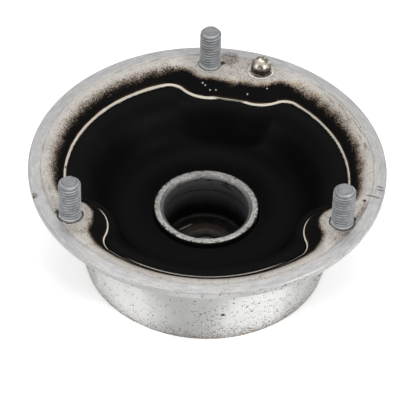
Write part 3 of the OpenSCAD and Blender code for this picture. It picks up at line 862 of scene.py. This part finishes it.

# %% [markdown]
# The cup that carries the damper rod is black inside, its wall painted darker downward as painted
# shade, with a brown ring on its floor where a washer has rubbed, one light streak that is a
# painted glint, and brown below. Radius and height tell wall, floor and ring apart, so that one
# material can hold them all.

# %% Rod cup finish
oiled, tree, shader = new_finish("oiled_steel")
here = place_on(tree)
spot, radius, height = here["Position"], here["Radius"], here["Height"]
patch = cloud(tree, spot, 3, 4)
fine = cloud(tree, spot, 0.6, 3)
lines = cloud(tree, spot, 5, 2, (0.4, 0.4, 8.0))
grease = rise_between(tree, patch, 0.38, 0.6)
# The cup's wall darkens downward: painted shade inside the cup.
deep_shade = rise_between(tree, plus(tree, height, between(tree, lines, -1.5, 1.5)), 15.5, 6.5)
wall = mixed(tree, deep_shade, (0.1, 0.1, 0.102), (0.006, 0.006, 0.006))
ring = times(tree, rise_between(tree, radius, 6.6, 8.0), rise_between(tree, radius, 11.4, 10.2),
             between(tree, fine, 0.5, 1.0))
floor_tone = mixed(tree, ring, (0.004, 0.0035, 0.003), (0.036, 0.026, 0.019))
floor_tone = laid(tree, flecks(tree, spot, 1.4, 0.25, 0.35), 0.5, floor_tone, (0.05, 0.012, 0.006))
# A light streak on the floor of the cup is a painted glint.
floor_glint = scratch(tree, spot, (-10.4, 6.6), (-4.6, 10.7), 0.4)
floor_tone = laid(tree, floor_glint, 0.8, floor_tone, (0.3, 0.29, 0.28))
inner = mixed(tree, rise_between(tree, radius, 14.2, 15.4), floor_tone, wall)
brown = mixed(tree, fine, (0.1, 0.06, 0.038), (0.17, 0.11, 0.07))
outer = mixed(tree, grease, brown, (0.022, 0.015, 0.011))
under = rise_between(tree, here["Facing Up"], -0.2, -0.5)
outside = minus(tree, 1.0, rise_between(tree, radius, 16.4, 16.1))
steel = mixed(tree, most(tree, under, outside), inner, outer)
wire(tree, shader, Base_Color=steel, Metallic=between(tree, grease, 0.5, 0.1),
     Specular_IOR_Level=0.2, Roughness=between(tree, fine, 0.34, 0.6),
     Normal=bumped(tree, fine, 0.05))
pieces["rod_cup"].data.materials.append(oiled)
print("finish made:", oiled.name)

# %% [markdown]
# The studs are zinc plated: a dull, cloudy blue grey, with dirt in the roots of the thread. The
# foot of the thread is rubbed bright, and the tip is worn dark.

# %% Stud finish
zinc, tree, shader = new_finish("zinc_steel")
here = place_on(tree)
spot, height = here["Position"], here["Height"]
stud_gap = axis_gap(tree, spot, STUD_AXES)
patch = cloud(tree, spot, 2.2, 4)
fine = cloud(tree, spot, 0.35, 2)
plate = mixed(tree, rise_between(tree, patch, 0.3, 0.7), (0.25, 0.257, 0.265), (0.4, 0.412, 0.425))
plate = laid(tree, flecks(tree, spot, 0.8, 0.25, 0.3), 0.5, plate, (0.1, 0.098, 0.095))
root_dirt = times(tree, rise_between(tree, stud_gap, 3.95, 3.45), rise_between(tree, height, 60.2, 59.4))
plate = laid(tree, root_dirt, 0.6, plate, (0.06, 0.06, 0.06))
tip_edge = times(tree, band(tree, stud_gap, 2.2, 3.2, 0.4), rise_between(tree, height, 59.6, 60.0))
plate = laid(tree, tip_edge, between(tree, patch, 0.1, 0.8), plate, (0.08, 0.08, 0.085))
foot_edge = rise_between(tree, height, 45.25, 44.95)
plate = laid(tree, foot_edge, between(tree, patch, 0.2, 0.8), plate, (0.66, 0.67, 0.68))
tip_worn = between(tree, rise_between(tree, patch, 0.35, 0.6), 0.2, 0.75)
plate = laid(tree, rise_between(tree, height, 60.2, 60.45), tip_worn, plate, (0.13, 0.133, 0.14))
wire(tree, shader, Base_Color=plate, Metallic=between(tree, patch, 0.45, 0.6),
     Roughness=between(tree, fine, 0.55, 0.75), Normal=bumped(tree, fine, 0.04))
pieces["mounting_studs"].data.materials.append(zinc)
print("finish made:", zinc.name)

# %% [markdown]
# The pin beside the rear stud is bright and polished, and warmer in colour. It is mottled, with
# fine pits and a dark band low down, a painted reflection.

# %% Pin finish
bright, tree, shader = new_finish("bright_steel")
here = place_on(tree)
spot = here["Position"]
mottle = cloud(tree, spot, 1.3, 4)
fine = cloud(tree, spot, 0.4, 3)
nickel = mixed(tree, rise_between(tree, mottle, 0.42, 0.6), (0.46, 0.42, 0.365), (0.13, 0.112, 0.094))
nickel = laid(tree, flecks(tree, spot, 0.7, 0.25, 0.25), 0.6, nickel, (0.09, 0.07, 0.05))
# The dark band low down on the pin is a painted reflection.
wavy_height = plus(tree, here["Height"], between(tree, fine, -0.4, 0.4))
nickel = laid(tree, band(tree, wavy_height, 44.9, 47.2, 0.5), 0.92, nickel, (0.025, 0.02, 0.015))
wire(tree, shader, Base_Color=nickel, Metallic=1.0,
     Roughness=between(tree, mottle, 0.22, 0.5), Normal=bumped(tree, mottle, 0.12))
pieces["locating_pin"].data.materials.append(bright)
print("finish made:", bright.name)

# %% [markdown]
# The bearing sits out of sight under the sleeve, and shows only from below. It still gets true
# finishes, because the part is seen from every side: ground steel for the rings and balls, a tan
# plastic cage, brown seals with a matt skin, and a blackened spring ring.

# %% Bearing finishes
def speckled_finish(name, low, high, metal, rough, size):
    """A finish of two close tones with fine flecks of grease."""
    finish, tree, shader = new_finish(name)
    spot = place_on(tree)["Position"]
    patch = cloud(tree, spot, size, 4)
    fine = cloud(tree, spot, 0.4, 3)
    tone = mixed(tree, rise_between(tree, patch, 0.3, 0.7), low, high)
    dark = tuple(0.3 * part for part in low)
    tone = laid(tree, flecks(tree, spot, 1.2, 0.22, 0.3), 0.6, tone, dark)
    wire(tree, shader, Base_Color=tone, Metallic=metal,
         Roughness=between(tree, fine, rough - 0.08, rough + 0.08), Normal=bumped(tree, fine, 0.02))
    return finish


bearing_finishes = {name: speckled_finish(name, *look) for name, look in {
    "bearing_steel": ((0.42, 0.43, 0.45), (0.58, 0.59, 0.61), 1.0, 0.24, 5),
    "cage_plastic": ((0.26, 0.22, 0.15), (0.33, 0.29, 0.2), 0.0, 0.5, 4),
    "seal_rubber": ((0.09, 0.05, 0.03), (0.15, 0.08, 0.045), 0.0, 0.6, 3),
    "spring_steel": ((0.045, 0.045, 0.05), (0.09, 0.09, 0.095), 0.8, 0.4, 3)}.items()}
for piece in pieces.values():
    if not piece.data.materials:
        piece.data.materials.append(bearing_finishes[piece["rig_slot"]])
print("finishes made:", sorted(bearing_finishes))

# %% [markdown]
# The photograph has a white ground with a faint soft shadow. Turning up the lamps until the floor
# burns out would burn out the silver too, so the floor is white only to the rays that look at it:
# Light Path tells camera, glossy and transmission rays apart from the rays that carry light. The
# floor adds that white to its own shading, so the shadow stays. It adds none inside the skirt,
# where the floor would glow up through the rod hole.

# %% Floor
FLOOR_SIZE = 12
FLOOR_GREY = 0.8
FLOOR_GLOW = 0.45


def seen_directly(tree):
    """1 for rays that look at or mirror the background, 0 for rays that light the object."""
    path = put(tree, "LightPath").outputs
    return most(tree, path["Is Camera Ray"], path["Is Glossy Ray"], path["Is Transmission Ray"])


bpy.ops.object.select_all(action="DESELECT")
bpy.ops.mesh.primitive_plane_add(size=FLOOR_SIZE, location=(0, 0, 0))
floor = bpy.context.active_object
floor.name = "floor"
ground = bpy.data.materials.new("white_ground")
ground.use_nodes = True
tree = ground.node_tree
tree.nodes.remove(tree.nodes["Principled BSDF"])
matt = put(tree, "BsdfDiffuse", None, {"Color": (FLOOR_GREY, FLOOR_GREY, FLOOR_GREY, 1)})
off_axis = vector_calc(tree, "LENGTH", put(tree, "TexCoord").outputs["Object"], result="Value")
past_skirt = rise_between(tree, off_axis, 0.04, 0.047)
glow = put(tree, "Emission", None, {
    "Strength": times(tree, seen_directly(tree), past_skirt, FLOOR_GLOW)})
both = put(tree, "AddShader", None, {0: matt.outputs[0], 1: glow.outputs[0]})
tree.links.new(both.outputs[0], tree.nodes["Material Output"].inputs["Surface"])
floor.data.materials.append(ground)
print("floor made:", floor.name)

# %% [markdown]
# The room is white in the same way to the rays that look at it. The light that it gives the part
# is much weaker, so that the lamps can shape the part.

# %% Room
AMBIENT = 0.36
room = bpy.context.scene.world or bpy.data.worlds.new("room")
bpy.context.scene.world = room
room.use_nodes = True
tree = room.node_tree
air = tree.nodes["Background"]
air.inputs["Color"].default_value = (1, 1, 1, 1)
tree.links.new(between(tree, seen_directly(tree), AMBIENT, 1.0), air.inputs["Strength"])
print("room light for the object:", AMBIENT)

# %% [markdown]
# Two large lamps stand in front, high to the left and the right, as softboxes do in a small
# product studio, with a third overhead. Their size makes the shadow edges soft. They light the
# skirt evenly, so two narrow beams from low down give it the two broad lights with a darker band
# between them that the photograph shows.

# %% Lamps
PART_MIDDLE = (0, 0, 0.03)
BEAM_DEG = 3.4
BEAM_SOURCE = 0.004


def lamp_at(kind, name, place, aim, power):
    """A lamp that faces a point."""
    bpy.ops.object.select_all(action="DESELECT")
    bpy.ops.object.light_add(type=kind, location=place)
    lamp = bpy.context.active_object
    lamp.name = name
    lamp.data.energy = power
    lamp.rotation_euler = (Vector(aim) - Vector(place)).to_track_quat("-Z", "Y").to_euler()
    return lamp.data


for name, place, power, size in (
        ("left_softbox", (-0.95, -0.75, 0.42), 7.4, 0.4),
        ("right_softbox", (0.95, -0.7, 0.42), 10.0, 0.4),
        ("top_softbox", (0.0, 0.3, 1.1), 6.5, 0.8)):
    lamp_at("AREA", name, place, PART_MIDDLE, power).size = size
for name, place, aim, power in (
        ("left_snoot", (-0.47, -0.65, 0.1), (-0.029, -0.04, 0.016), 29.0),
        ("right_snoot", (0.34, -0.73, 0.1), (0.021, -0.045, 0.016), 33.0)):
    beam = lamp_at("SPOT", name, place, aim, power)
    beam.spot_size = math.radians(BEAM_DEG)
    beam.spot_blend = 1.0
    beam.shadow_soft_size = BEAM_SOURCE
bpy.context.scene.view_settings.view_transform = "Standard"
print("lamps set:", len(bpy.data.lights))


print("pieces:", len(pieces))
